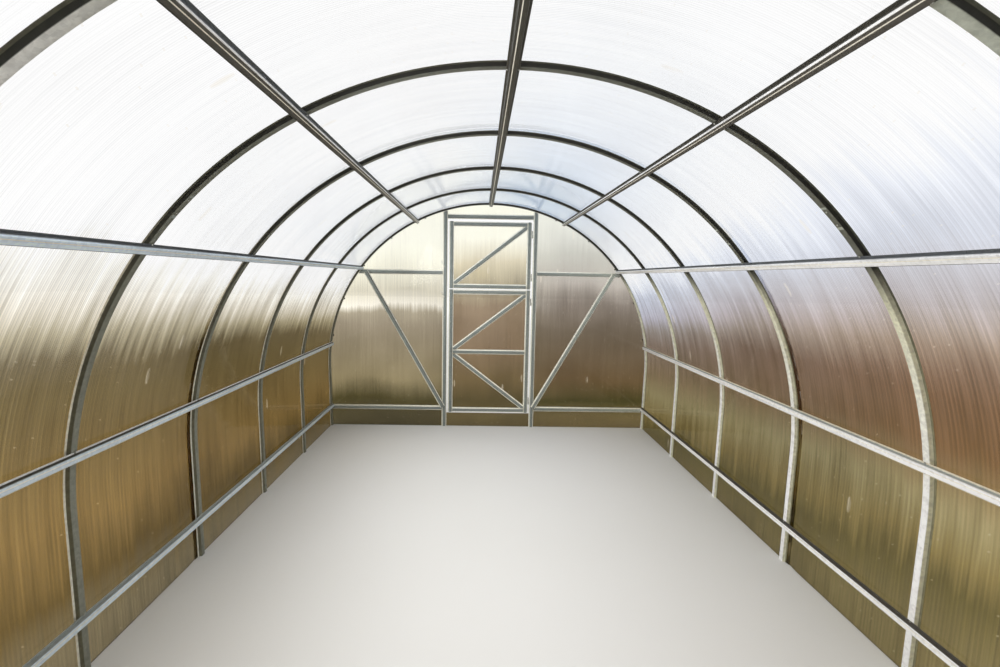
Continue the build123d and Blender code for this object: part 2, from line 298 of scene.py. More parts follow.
def purlin_tones(name):
    """Tones of one purlin, painted light and shade. A painted highlight, 3 mm wide, runs along its crown."""
    low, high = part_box(name)
    middle = (low + high) / 2
    turn = math.atan2(middle.x, max(middle.z - ROOF_CENTRE, 0.0))
    # Down the roof, and to the right on the ridge
    down_roof = Vector((math.cos(turn), 0, -math.sin(turn))) * (-1 if name.endswith("_left") else 1)
    crown, upper_web, lower_web, upper_flange, lower_flange = (linear(tone) for tone in PAINTED_PURLIN_TONES[name])

    def tones(tree, place, normal):
        spot = add(tree, "ShaderNodeCombineXYZ", {"X": place.outputs["X"], "Z": place.outputs["Z"]})
        dot = add(tree, "ShaderNodeVectorMath", {0: spot.outputs[0], 1: down_roof}, operation="DOT_PRODUCT")
        across = maths(tree, "SUBTRACT", dot.outputs["Value"], middle.dot(down_roof))
        # The painted highlight along the crown
        line = maths(tree, "COMPARE", across, -3 * MM, 1.5 * MM)
        highlighted = blend(tree, line, crown, linear(PAINTED_HIGHLIGHT))
        return hat_tones(tree, across, highlighted, (upper_web, lower_web), (upper_flange, lower_flange))
    return tones


def plain_tones(tree, place, normal):
    """Tones of the sleeves, which show only at the joints."""
    return ramp(tree, span(tree, place.outputs["X"], -ROOF_RADIUS, ROOF_RADIUS), WALL_TONES)


def wall_tones(tree, place, normal):
    """Tones of the end walls' bars, painted light and shade: dull crowns between flanges painted bright as
    highlights. Webs that look up or to the left are painted lit, and the others are painted dark as shade."""
    facing = add(tree, "ShaderNodeSeparateXYZ", {"Vector": normal})
    crown = ramp(tree, span(tree, place.outputs["X"], -ROOF_RADIUS, ROOF_RADIUS), WALL_TONES)
    depth = maths(tree, "ABSOLUTE", place.outputs["Y"])
    # The flanges lie at two depths, because the braces lie on the crowns of the other bars
    flange, brace_flange = (
        maths(tree, "COMPARE", depth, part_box(name)[1].y - 1.5 * MM, 1.75 * MM)
        for name in ("girts", "wall_braces"))
    # The flanges are painted bright, as highlights
    level = blend(tree, maths(tree, "MAXIMUM", flange, brace_flange), crown, linear(CREAM))
    # Painted light and shade on the webs, by how they face a light from the upper left
    lit = add(tree, "ShaderNodeVectorMath", {0: normal, 1: (-0.6, 0, 0.8)}, operation="DOT_PRODUCT")
    web = blend(tree, maths(tree, "GREATER_THAN", lit.outputs["Value"], 0.0), linear(DARK), linear(CREAM))
    return blend(tree, span(tree, maths(tree, "ABSOLUTE", facing.outputs["Y"]), 0.9, 0.35), level, web)


def zinc_plate():
    """Yellowed zinc plate on small steel pieces: brighter than the strip and slightly mottled."""
    material, tree = new_material("zinc_plated_steel")
    coordinates = add(tree, "ShaderNodeTexCoord")
    mottle = add(tree, "ShaderNodeTexNoise", {
        "Vector": coordinates.outputs["Object"], "Scale": 1 / (4 * MM), "Detail": 3.0})
    colour = ramp(tree, mottle.outputs["Fac"], [(0.3, "#9d9c93"), (0.6, "#cfcfc8"), (0.8, "#e2e0d6")])
    shader = add(tree, "ShaderNodeBsdfPrincipled", {"Base Color": colour, "Metallic": 1.0, "Roughness": 0.34})
    finish_surface(tree, shader)
    return material


def rubber():
    """Black EPDM rubber, moulded: matt, with a grey bloom."""
    material, tree = new_material("moulded_epdm_rubber")
    coordinates = add(tree, "ShaderNodeTexCoord")
    bloom = add(tree, "ShaderNodeTexNoise", {"Vector": coordinates.outputs["Object"], "Scale": 1 / (3 * MM)})
    colour = ramp(tree, bloom.outputs["Fac"], [(0.35, "#1b1c1c"), (0.7, "#3a3b3a")])
    shader = add(tree, "ShaderNodeBsdfPrincipled", {"Base Color": colour, "Roughness": 0.75})
    finish_surface(tree, shader)
    return material


def roof_directions(tree, place, normal):
    """On a roof sheet: how squarely a face looks out, and metres across the ribs and down from the ridge."""
    x, y, z = (place.outputs[axis] for axis in "XYZ")
    above = maths(tree, "SUBTRACT", z, ROOF_CENTRE)
    turn = maths(tree, "ARCTAN2", maths(tree, "ABSOLUTE", x), maths(tree, "MAXIMUM", above, 0.0))
    down = maths(tree, "SUBTRACT", times(tree, turn, ROOF_RADIUS), maths(tree, "MINIMUM", above, 0.0))
    # The two sides are set 40 m apart, so that their patterns differ
    over = plus(tree, y, times(tree, maths(tree, "SIGN", x), 20.0))
    return outward_share(tree, place, normal), over, down


def wall_directions(tree, place, normal, turned):
    """On an end wall's sheet: how squarely a face looks out, and metres across the ribs and up."""
    facing = add(tree, "ShaderNodeSeparateXYZ", {"Vector": normal})
    outer = times(tree, facing.outputs["Y"], maths(tree, "SIGN", place.outputs["Y"]))
    outer = times(tree, outer, -1.0 if turned else 1.0)
    return outer, place.outputs["X"], place.outputs["Z"]


def roof_painted_light(tree, colour, place, level, side):
    """Painted light on the roof. Overhead a bluish glow of sky light is painted, most of it to the right of
    the ridge and far in. By the near doorway its sides are painted lighter, as lit from the doorway. The
    right one is redder there, above the foot and below the top."""
    x, y = place.outputs["X"], place.outputs["Y"]
    beside = maths(tree, "ABSOLUTE", maths(tree, "SUBTRACT", x, 0.35))
    # A painted bluish glow of sky light overhead
    bloom = times(tree, span(tree, y, -1.2, 1.5), span(tree, beside, 0.15, 0.65, 1.0, 0.3))
    bloom = times(tree, bloom, span(tree, level, 0.62, 0.8))
    colour = scale(tree, colour, blend(tree, bloom, linear(WHITE), linear(PAINTED_SKY_GLOW)))
    # Painted light by the near doorway: the low parts of the sides are lighter near it
    low = span(tree, level, 0.5, 0.66, 1.0, 0.0)
    doorway_light = plus(tree, times(tree, low, span(tree, y, -1.3, -0.1, 0.72, 0.0)), 1.0)
    warm = times(tree, side, span(tree, y, -0.7, 1.3, 1.0, 0.0))
    warm = times(tree, warm, span(tree, level, 0.30, 0.42))
    warm = times(tree, warm, span(tree, level, 0.58, 0.73, 1.0, 0.0))
    return scale(tree, scale(tree, colour, doorway_light), blend(tree, warm, linear(WHITE), linear(WARM)))


def dusty_shade(tree, over, level, patterns, dust):
    """What the ribs and the dust multiply the colour by. The dust on every other rib shows further off. The
    ribs are fainter near the ground, and everything is fainter overhead."""
    fine, coarse, blotch = patterns
    pitch = settings().sheet.rib
    ribs = maths(tree, "SINE", times(tree, over, 2 * math.pi / pitch))
    pairs = maths(tree, "SINE", times(tree, over, math.pi / pitch))
    ribs = plus(tree, times(tree, ribs, 0.25 * dust), times(tree, pairs, 0.15 * dust))
    ribs = times(tree, ribs, span(tree, level, 0.3, 0.5, 0.5, 1.0))
    shade = plus(
        tree, span(tree, fine, 0.3, 0.7, -0.16 * dust, 0.16 * dust),
        span(tree, coarse, 0.3, 0.7, -0.08 * dust, 0.08 * dust))
    shade = plus(tree, plus(tree, shade, ribs), span(tree, blotch, 0.3, 0.7, -0.1, 0.1))
    strength = span(tree, level, 0.62, 0.8, 1.0, 0.35)
    return plus(tree, times(tree, shade, strength), 1.0)


def dried_marks(tree, over, down, fine):
    """Dried splashes 5 mm across, and scuffs 20 mm wide that are drawn out to 70 mm along the ribs."""
    splash = marks(tree, over, down, 0.05, 0.05, 0.05, 0.86)
    scuff = marks(tree, over, down, 0.16, 0.6, 0.06, 0.8)
    scuff = times(tree, scuff, maths(tree, "GREATER_THAN", fine, 0.46))
    return maths(tree, "MAXIMUM", times(tree, splash, 0.6), times(tree, scuff, 0.5))


def twin_wall(name, across, left_stops, right_stops, cover_heights, dust=1.0, turned=False):
    """Extruded twin-wall polycarbonate: glossy sheet, milky outside, whose ribs show as fine lines along it.
    Inside, the dust on it runs in fine streaks along the ribs, with dried splashes and scuffs.
    `across` is the axis that crosses the ribs, and `dust` is the strength of the streaks. Between the
    `cover_heights`, as shares of the house's height, the faces turn from solid to thin. `turned` sheets
    hang with their outer face to the wall."""
    sizes = settings().sheet
    material, tree = new_material(name)
    coordinates = add(tree, "ShaderNodeTexCoord")
    normal = coordinates.outputs["Normal"]
    place = add(tree, "ShaderNodeSeparateXYZ", {"Vector": coordinates.outputs["Object"]})
    on_roof = across == "Y"
    if on_roof:
        outer, over, down = roof_directions(tree, place, normal)
    else:
        outer, over, down = wall_directions(tree, place, normal, turned)
    outer = maths(tree, "GREATER_THAN", outer, 0.0)

    # Streaks on one or two ribs, bands of 50 mm and blotches. They also carry the tones up and down the sheet
    fine = drawn_noise(tree, over, down, sizes.streak, 0.5)
    coarse = drawn_noise(tree, over, down, 0.05, 0.9, 1.0)
    blotch = drawn_noise(tree, over, down, 0.5, 0.45, 1.0)
    level = height = maths(tree, "DIVIDE", place.outputs["Z"], SHEET_HIGH.z)
    for pattern, reach in ((fine, 0.012 * dust), (coarse, 0.014 * dust), (blotch, 0.012)):
        height = plus(tree, height, span(tree, pattern, 0.3, 0.7, -reach, reach))
    if on_roof:
        # The dark tones lie lower towards the far end, and more so on the right
        fall = span(tree, place.outputs["X"], -0.7, 0.7, 0.035, 0.055)
        height = plus(tree, height, times(tree, place.outputs["Y"], fall))
    side = span(tree, place.outputs["X"], -0.7, 0.7)
    colour = blend(tree, side, ramp(tree, height, left_stops), ramp(tree, height, right_stops))
    if on_roof:
        colour = roof_painted_light(tree, colour, place, level, side)
    colour = scale(tree, colour, dusty_shade(tree, over, level, (fine, coarse, blotch), dust))
    colour = blend(tree, dried_marks(tree, over, down, fine), colour, linear(DRIED))

    # The outer face is clean and milky: light passes it, but low down less is seen through it
    colour = blend(tree, outer, colour, linear(MILK))
    clear = span(tree, level, 0.45, 0.68, sizes.clear_low, sizes.clear_high)
    through = add(tree, "ShaderNodeMix", {"Factor": outer, "A": 1.0, "B": clear})
    thin = add(tree, "ShaderNodeMix", {"Factor": outer, "A": sizes.cover_inside, "B": sizes.cover_outside})
    cover = span(tree, level, *cover_heights, 1.0, thin.outputs["Result"])
    shader = add(tree, "ShaderNodeBsdfPrincipled", {
        "Base Color": colour, "Roughness": sizes.haze, "IOR": sizes.ior,
        "Transmission Weight": through.outputs["Result"], "Alpha": cover,
        "Coat Weight": 0.3, "Coat Roughness": 0.08})
    finish_surface(tree, shader)
    return material


def drawn_noise(tree, over, down, wide, long, detail=2.0):
    """Noise whose marks are `wide` metres across the ribs and `long` along them."""
    spot = add(tree, "ShaderNodeCombineXYZ", {
        "X": maths(tree, "DIVIDE", over, wide), "Y": maths(tree, "DIVIDE", down, long)})
    noise = add(tree, "ShaderNodeTexNoise", {
        "Vector": spot.outputs[0], "Scale": 1.0, "Detail": detail, "Roughness": 0.7}, noise_dimensions="2D")
    return noise.outputs["Fac"]


def marks(tree, over, down, wide, long, radius, rarity):
    """1 near the middle of some cells that are `wide` by `long` metres, and 0 elsewhere. `radius` is a share
    of a cell, and `rarity` is the share of the cells that stay empty."""
    spot = add(tree, "ShaderNodeCombineXYZ", {
        "X": maths(tree, "DIVIDE", over, wide), "Y": maths(tree, "DIVIDE", down, long)})
    cells = add(
        tree, "ShaderNodeTexVoronoi", {"Vector": spot.outputs[0], "Scale": 1.0}, voronoi_dimensions="2D")
    chosen = add(tree, "ShaderNodeSeparateColor", {"Color": cells.outputs["Color"]})
    near = maths(tree, "LESS_THAN", cells.outputs["Distance"], radius)
    return times(tree, near, maths(tree, "GREATER_THAN", chosen.outputs[0], rarity))


def plain_floor():
    """Smooth pale studio floor, painted matt. Far out it turns to the white of the backdrop."""
    material, tree = new_material("matt_floor_paint")
    coordinates = add(tree, "ShaderNodeTexCoord")
    spot = coordinates.outputs["Object"]
    cloud = add(tree, "ShaderNodeTexNoise", {"Vector": spot, "Scale": 0.6})
    colour = ramp(tree, cloud.outputs["Fac"], [(0.3, "#e6e5e1"), (0.7, "#eae9e6")])
    distance = add(tree, "ShaderNodeVectorMath", {0: spot}, operation="LENGTH")
    glow = times(tree, span(tree, distance.outputs["Value"], 4.0, 16.0), seen_ray(tree))
    shader = add(tree, "ShaderNodeBsdfPrincipled", {
        "Base Color": blend(tree, glow, colour, linear("#000000")), "Roughness": 0.8,
        "Emission Color": linear(WHITE), "Emission Strength": glow})
    finish_surface(tree, shader)
    return material


def seen_ray(tree):
    """1 where a thing is seen, mirrored or seen through a sheet, and 0 where it only gives light."""
    rays = add(tree, "ShaderNodeLightPath")
    seen = maths(tree, "MAXIMUM", rays.outputs["Is Camera Ray"], rays.outputs["Is Glossy Ray"])
    return maths(tree, "MAXIMUM", seen, rays.outputs["Is Transmission Ray"])


# The sheets' outer face, the roof's painted sky glow and its warm cast, and what dries on the inner face
MILK, PAINTED_SKY_GLOW, WARM, DRIED = "#f8fafb", "#a2bfe2", "#e1c8ad", "#e6dcc8"
ROOF_COVER, WALL_COVER = (0.50, 0.72), (0.62, 0.84)
WALL_DUST = 0.35

# Tones up the sheets, as shares of the house's height: soil splashed on the foot, a brown film, then clean
# sheet. In part the brown low down and the bluish tones high up are painted: the ground and the sky seen
# through the sheet. The right side is darker than the left
ROOF_LEFT = [
    (0.03, "#80745a"), (0.13, "#62502c"), (0.24, "#80683d"), (0.45, "#70613f"), (0.51, "#6c5f43"),
    (0.555, "#a3987a"), (0.60, "#ccc4b2"), (0.65, "#f2efe4"), (0.69, "#ffffff"), (1.0, "#ffffff"),
]
ROOF_RIGHT = [
    (0.04, "#857852"), (0.14, "#6b603a"), (0.20, "#86764a"), (0.29, "#988d68"), (0.38, "#86745a"),
    (0.50, "#8c7c70"), (0.56, "#9c948e"), (0.62, "#afadb8"), (0.70, "#bec5d6"), (0.75, "#e2e8f5"),
    (0.81, "#ffffff"),
]
END_LEFT = [
    (0.05, "#5e563e"), (0.12, "#5a5232"), (0.22, "#a09270"), (0.46, "#a59984"), (0.51, "#b0a690"),
    (0.545, "#f6f0e0"), (0.61, "#dcd6c2"), (0.80, "#fffde4"),
]
END_RIGHT = [
    (0.05, "#84744f"), (0.12, "#554f2c"), (0.22, "#745f42"), (0.45, "#75695a"), (0.56, "#897f75"),
    (0.66, "#b8b0a6"), (0.78, "#b8b6a8"), (0.92, "#dcdecd"),
]
LEAF = [
    (0.05, "#7b6d4b"), (0.12, "#625636"), (0.22, "#7e6b49"), (0.36, "#9a846a"), (0.55, "#917f69"),
    (0.64, "#a99f86"), (0.74, "#d6c9a6"), (0.85, "#fffce0"),
]

# Tones of the arches, from the left foot over the top to the right foot. They are painted light and shade:
# dark overhead and bright on the right foot, as lit from the left. The crowns of the two nearest are painted
# brighter, as lit from the near doorway
PAINTED_ARCH_CROWNS = [
    (0.0, "#85877b"), (0.16, "#7c7d70"), (0.36, "#787a70"), (0.5, "#63655c"), (0.80, "#66665a"),
    (0.845, "#e6e4c8"), (1.0, "#ffffff"),
]
PAINTED_NEAR_CROWNS = [(0.0, "#a5a99c"), (0.12, "#f6faee"), (0.26, "#ffffff"), (0.40, "#a9ab9e"), (1.0, "#c8cec2")]
# The webs are painted dark as shade, and bright on the right foot. The flanges are painted bright where light
# falls: the near ones on the left side and the far ones on the right foot
PAINTED_ARCH_WEBS = [(0.0, "#75735f"), (0.16, "#5a594c"), (0.25, "#24231c"), (0.80, "#1e1d17"), (0.85, "#e8e6cc")]
PAINTED_NEAR_FLANGES = [
    (0.0, "#fffdf0"), (0.17, "#fff4dc"), (0.24, "#6c6b5c"), (0.80, "#4a4b40"), (0.9, "#8a866c"),
]
PAINTED_FAR_FLANGES = [(0.0, "#6c6856"), (0.24, "#4a483a"), (0.80, "#4a4b40"), (0.85, "#fffbe0")]

# Tones of the purlins: crown, upper and lower web, upper and lower flange. All are painted light and shade:
# faces in shade are painted dark, and lit faces white and bluish pale. The roof purlins have crowns painted
# dark and upper webs painted bright, as a reflection of the sky
WHITE, PAINTED_HIGHLIGHT, PALE, TAN, CREAM = "#ffffff", "#fdf8ea", "#dae8f2", "#e6dec8", "#fffdf0"
ICE, GREY, SLATE, SHADE, DARK = "#e4f2ff", "#a2a8a6", "#5c6064", "#55514a", "#3a3830"
PAINTED_PURLIN_TONES = {
    "ridge_purlin": (DARK, DARK, DARK, DARK, DARK),
    "roof_purlin_left": (SHADE, WHITE, DARK, SLATE, DARK),
    "roof_purlin_right": (SHADE, WHITE, DARK, DARK, DARK),
    "upper_purlin_left": (ICE, SLATE, DARK, SLATE, DARK),
    "upper_purlin_right": (WHITE, SLATE, DARK, SLATE, DARK),
    "middle_purlin_left": (PALE, DARK, DARK, WHITE, TAN),
    "middle_purlin_right": (WHITE, GREY, GREY, TAN, TAN),
    "bottom_purlin_left": (PALE, GREY, DARK, GREY, WHITE),
    "bottom_purlin_right": (WHITE, SHADE, SHADE, SHADE, GREY),
}
# Tones of the end walls' crowns and of the sleeves, from the left side to the right one
WALL_TONES = [(0.0, "#a6aca6"), (0.35, "#868e8a"), (0.65, "#8c928c"), (1.0, "#c0c4b8")]

# Scale of the steel's streaks along each axis, per metre: low along the bar
ARCH_GRAIN, PURLIN_GRAIN, POST_GRAIN, RAIL_GRAIN = (60, 60, 60), (90, 3, 90), (90, 90, 3), (3, 90, 90)

# Places of the end walls' screws, in metres from the middle of the wall and up from the ground
LINTEL_HEIGHT, GIRT_HEIGHT, RAIL_HEIGHT = 1.975, 1.46, 0.175
VENT_LOW, VENT_HIGH, LEAF_SIDE = 1.336, 1.909, 0.359
DOOR_LOW, DOOR_MIDDLE, DOOR_HIGH = 0.161, 0.719, 1.284
POST_MIDDLE, POST_FLANGE = 0.416, 0.422
BRACE_FOOT, BRACE_REACH = (0.428, 0.198), (0.72, 1.254)
WALL_EDGE_RADIUS = 1.483


# Mesh code

def hat_outline(steel):
    """The hat's closed outline as (across, outward) points, with its bends rounded."""
    half, crown = steel.width / 2, steel.crown / 2
    shoulder, inner = half - steel.flange, steel.depth - steel.gauge
    right = [
        (crown - steel.gauge, -inner), (shoulder - steel.gauge, 0), (half, 0),
        (half, -steel.gauge), (shoulder, -steel.gauge), (crown, -steel.depth),
    ]
    radii = [steel.bend, steel.bend + steel.gauge, 0, 0, steel.bend, steel.bend + steel.gauge]
    corners = right + [(-x, y) for x, y in reversed(right)]
    radii = radii + list(reversed(radii))
    points = []
    for index, (corner, radius) in enumerate(zip(corners, radii)):
        here = Vector(corner)
        before = (Vector(corners[index - 1]) - here).normalized()
        after = (Vector(corners[(index + 1) % len(corners)]) - here).normalized()
        if not radius:
            points.append(here)
            continue
        cut = radius / math.tan(before.angle(after) / 2)
        start, end = here + before * cut, here + after * cut
        points += [start, start.lerp(end, 0.5).lerp(here, 0.35), end]
    return points


def arch_stations(steel, low, high):
    """Places along the arch's flange line: (point, outward direction), from one angle to another."""
    radius = ROOF_RADIUS - steel.inset
    count = max(2, round((high - low) / steel.step))
    stations = []
    for number in range(count + 1):
        turn = low + (high - low) * number / count
        out = Vector((math.sin(turn), 0, math.cos(turn)))
        stations.append((Vector((0, 0, ROOF_CENTRE)) + out * radius, out))
    return stations


def leg_foot(steel, station, side):
    """The station at the ground, below the end of the arch's curve."""
    point, out = station
    down = Vector((-side * math.sin(steel.lean), 0, -math.cos(steel.lean)))
    return point + down * (point.z / math.cos(steel.lean)), out


def sweep_hat(mesh, outline, stations):
    """Add one bar to a bmesh: the outline at each station, closed at both ends."""
    rings = []
    for point, out in stations:
        ring = []
        for across, outward in outline:
            place = point + out * outward + Vector((0, across, 0))
            ring.append(mesh.verts.new((place.x, place.y, max(place.z, 0.0))))
        rings.append(ring)
    for first, second in zip(rings, rings[1:]):
        for index in range(len(outline)):
            after = (index + 1) % len(outline)
            mesh.faces.new((first[index], first[after], second[after], second[index]))
    mesh.faces.new(rings[0])
    mesh.faces.new(list(reversed(rings[-1])))


def finished_mesh(mesh, name, materials, sharp):
    """Turn a bmesh into a smooth-shaded mesh with sharp edges over an angle in degrees."""
    bmesh.ops.recalc_face_normals(mesh, faces=mesh.faces)
    data = bpy.data.meshes.new(name)
    mesh.to_mesh(data)
    mesh.free()
    for material in materials:
        data.materials.append(material)
    data.shade_smooth()
    data.set_sharp_from_angle(angle=math.radians(sharp))
    return data


def place_piece(data, name, body, location=(0, 0, 0)):
    piece = bpy.data.objects.new(name, data)
    piece.location = location
    bpy.context.scene.collection.objects.link(piece)
    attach(piece, body)
    return piece


def dress(names, material):
    """Give CAD nodes a material."""
    for name in names:
        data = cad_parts[name].data
        data.materials.clear()
        data.materials.append(material)


def soften(names, width):
    """Round the edges of straight CAD bars, without touching their meshes."""
    for name in names:
        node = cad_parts[name]
        weld = node.modifiers.new("weld", "WELD")
        weld.merge_threshold = 0.02 * MM
        bevel = node.modifiers.new("edges", "BEVEL")
        bevel.width = width
        bevel.segments = 2
        bevel.limit_method = "ANGLE"
        bevel.angle_limit = math.radians(20)
        bevel.use_clamp_overlap = True


def pan_head(mesh, place, normal, screws, washer=False):
    """Add a screw head that sits at a place, on a rubber washer where it holds a sheet. The head takes the
    mesh's first material and the washer its second."""
    origin = Matrix.Translation(place) @ Vector(normal).to_track_quat("Z", "Y").to_matrix().to_4x4()
    seat = 0.0
    if washer:
        seat, edge = screws.pad, screws.washer
        pad = [(edge, 0.0), (edge, seat * 0.5), (edge * 0.85, seat), (0.0, seat)]
        revolve(mesh, origin, pad, screws.sides, 1)
    radius, rise = screws.head, screws.rise
    revolve(mesh, origin, [
        (radius, seat), (radius, seat + rise * 0.35), (radius * 0.8, seat + rise * 0.85),
        (radius * 0.45, seat + rise), (radius * 0.3, seat + rise * 0.6), (0.0, seat + rise * 0.5),
    ], screws.sides, 0)


def revolve(mesh, origin, profile, sides, material):
    """Turn (radius, height) points about an axis into a solid with a flat base."""
    rings = []
    for radius, height in profile:
        count = sides if radius else 1
        turns = [2 * math.pi * number / count for number in range(count)]
        rings.append([
            mesh.verts.new(origin @ Vector((radius * math.cos(turn), radius * math.sin(turn), height)))
            for turn in turns])
    faces = [mesh.faces.new(list(reversed(rings[0])))]
    for first, second in zip(rings, rings[1:]):
        for number in range(sides):
            after = (number + 1) % sides
            corners = [first[number], first[after]]
            corners += [second[0]] if len(second) == 1 else [second[after], second[number]]
            faces.append(mesh.faces.new(corners))
    for face in faces:
        face.material_index = material


def half_turned(screw):
    """A screw of the far end wall as it stands in the near one."""
    place, normal, washer = screw
    return (-place[0], -place[1], place[2]), (-normal[0], -normal[1], normal[2]), washer


def around(turn, radius, y):
    """A place at a turn from the top of the roof, and the outward direction there."""
    out = Vector((math.sin(turn), 0, math.cos(turn)))
    return Vector((0, y, ROOF_CENTRE)) + out * radius, out


def roof_screws(steel, screws):
    """Screws through the roof sheets into the arches' flanges, from the outside."""
    found = []
    for y in ARCH_PLACES:
        lap = SHEET_LAP if abs(y) < steel.width else 0.0
        for degrees in (12, 36, 60, 76):
            for side in (-1, 1):
                place, out = around(side * math.radians(degrees), ROOF_RADIUS + lap, y + screws.flange)
                found.append((place, out, True))
        for z in (0.1, 0.35):
            for side in (-1, 1):
                x = ROOF_RADIUS + lap - (ROOF_CENTRE - z) * math.tan(steel.lean)
                found.append(((side * x, y + screws.flange, z), (side, 0, 0), True))
    return found


def purlin_screws(steel, screws):
    """Screws on the purlins' flanges at each arch, and on the arches' joints, from the inside."""
    found = []
    for name in PURLINS:
        low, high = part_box(name)
        middle = (low + high) / 2
        turn = math.atan2(middle.x, middle.z - ROOF_CENTRE)
        out = Vector((math.sin(turn), 0, math.cos(turn)))
        seat = Vector((0, 0, ROOF_CENTRE)) + out * PURLIN_SEAT
        if middle.z < ROOF_CENTRE:
            # On the legs, which lean in
            side = math.copysign(1, middle.x)
            out = Vector((side * math.cos(steel.lean), 0, -math.sin(steel.lean)))
            widest = max(abs(low.x), abs(high.x))
            seat = Vector((side * (widest - steel.gauge - 0.5 * MM), 0, middle.z))
        along = Vector((out.z, 0, -out.x))
        for y in ARCH_PLACES:
            # The purlins end on the end arches, so the last screws sit 12 mm further in
            y = max(min(y, ARCH_PLACES[-1] - 12 * MM), ARCH_PLACES[0] + 12 * MM)
            for shift in (-screws.flange, screws.flange):
                found.append((seat + along * shift + Vector((0, y, 0)), -out, False))
    crown = ROOF_RADIUS - steel.inset - steel.depth
    for y in ARCH_PLACES:
        for side in (-1, 1):
            for degrees in (-1.1, 1.1):
                place, out = around(side * (steel.joint_angle + math.radians(degrees)), crown, y)
                found.append((place, -out, False))
    return found


def wall_screws(steel):
    """Screws of the far end wall and its fixed leaf: on the bars inside, and through the sheets outside."""
    bar_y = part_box("lintels")[1].y - steel.depth
    brace_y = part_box("wall_braces")[1].y - steel.depth
    sheet_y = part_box("far_wall_left")[1].y
    (foot_x, foot_z), (reach_x, reach_z) = BRACE_FOOT, BRACE_REACH
    bars = [(0.0, z) for z in (LINTEL_HEIGHT, VENT_HIGH, VENT_LOW, 1.622)]
    sheets = [(x, LINTEL_HEIGHT) for x in (-0.3, 0.0, 0.3)] + [(0.0, VENT_LOW), (0.0, VENT_HIGH)]
    sheets += [(side * LEAF_SIDE, z) for side in (-1, 1) for z in (VENT_LOW, 1.62, VENT_HIGH)]
    found = []
    for side in (-1, 1):
        bars += [(side * 0.83, GIRT_HEIGHT), (side * 0.95, RAIL_HEIGHT)]
        bars += [(side * POST_MIDDLE, z) for z in (0.5, 1.05, 1.72)]
        sheets += [(side * POST_FLANGE, z) for z in (0.08, 0.6, 0.95, 1.32, 1.65, 1.9)]
        sheets += [(side * x, GIRT_HEIGHT) for x in (0.7, 1.0)]
        sheets += [(side * x, RAIL_HEIGHT) for x in (0.7, 1.0, 1.3)]
        sheets += [(side * (foot_x + reach_x * t), foot_z + reach_z * t) for t in (0.3, 0.6)]
        for degrees in (24, 38, 52, 66, 80):
            place, _ = around(side * math.radians(degrees), WALL_EDGE_RADIUS, 0)
            sheets.append((place.x, place.z))
        for t in (0.03, 0.5, 0.97):
            place = (side * (foot_x + reach_x * t), brace_y, foot_z + reach_z * t)
            found.append((place, (0, -1, 0), False))
    found += [((x, bar_y, z), (0, -1, 0), False) for x, z in bars]
    found += [((x, sheet_y, z), (0, 1, 0), True) for x, z in sheets]
    return found


def door_screws(steel):
    """Screws of the far lower leaf."""
    bar_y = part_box("far_door_frame")[1].y - steel.depth
    sheet_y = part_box("far_door_sheet")[1].y
    bars = [(0.0, z) for z in (DOOR_LOW, 0.44, DOOR_MIDDLE, 1.0, DOOR_HIGH)]
    bars += [(side * LEAF_SIDE, z) for side in (-1, 1) for z in (0.45, 1.0)]
    sheets = [(0.0, DOOR_LOW), (0.0, DOOR_HIGH)] + [(x, DOOR_MIDDLE) for x in (-0.2, 0.0, 0.2)]
    sheets += [(side * LEAF_SIDE, z) for side in (-1, 1) for z in (DOOR_LOW, 0.45, 0.9, DOOR_HIGH)]
    found = [((x, bar_y, z), (0, -1, 0), False) for x, z in bars]
    return found + [((x, sheet_y, z), (0, 1, 0), True) for x, z in sheets]


# Operators, one for each piece or group of like pieces

class GREENHOUSE_OT_arches(bpy.types.Operator):
    """Build the seven rolled arches in place of the stepped ones"""
    bl_idname = "greenhouse.arches"
    bl_label = "Rolled arches"

    def execute(self, context):
        steel = settings().steel
        outline = hat_outline(steel)
        end = math.pi / 2 + steel.lean
        gap = steel.joint_gap / 2 / ROOF_RADIUS
        crown = arch_stations(steel, gap - steel.joint_angle, steel.joint_angle - gap)
        right = arch_stations(steel, steel.joint_angle + gap, end)
        right.append(leg_foot(steel, right[-1], 1))
        left = arch_stations(steel, -end, -steel.joint_angle - gap)
        left.insert(0, leg_foot(steel, left[0], -1))
        mesh = bmesh.new()
        for stations in (left, crown, right):
            sweep_hat(mesh, outline, stations)
        material = galvanised_steel(
            "galvanised_steel_rolled_arch", ARCH_GRAIN, arch_tones(PAINTED_ARCH_CROWNS), crimped=True)
        # The two nearest arches get a copy whose crowns are painted brighter, as lit from the near doorway
        lit_near_material = galvanised_steel(
            "galvanised_steel_near_arch_painted_light", ARCH_GRAIN, arch_tones(PAINTED_NEAR_CROWNS), crimped=True)
        data = finished_mesh(mesh, "rolled_arch", [material], sharp=50)
        near = data.copy()
        near.materials[0] = lit_near_material
        for name, y in zip(ARCHES, ARCH_PLACES):
            made = near if name in ("arch_1", "arch_2") else data
            piece = place_piece(made, f"rolled_{name}", "house", (0, y, 0))
            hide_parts(name)
        dress(["arch_sleeves"], galvanised_steel("galvanised_steel_sleeve", ARCH_GRAIN, plain_tones))
        return {"FINISHED"}


class GREENHOUSE_OT_purlins(bpy.types.Operator):
    """Finish the purlins and their sleeves"""
    bl_idname = "greenhouse.purlins"
    bl_label = "Purlins"

    def execute(self, context):
        for name in PURLINS:
            dress([name], galvanised_steel(f"galvanised_steel_{name}", PURLIN_GRAIN, purlin_tones(name)))
        sleeve = galvanised_steel("galvanised_steel_purlin_sleeve", PURLIN_GRAIN, plain_tones)
        dress(["purlin_sleeves"], sleeve)
        soften(PURLINS, settings().steel.edge)
        return {"FINISHED"}


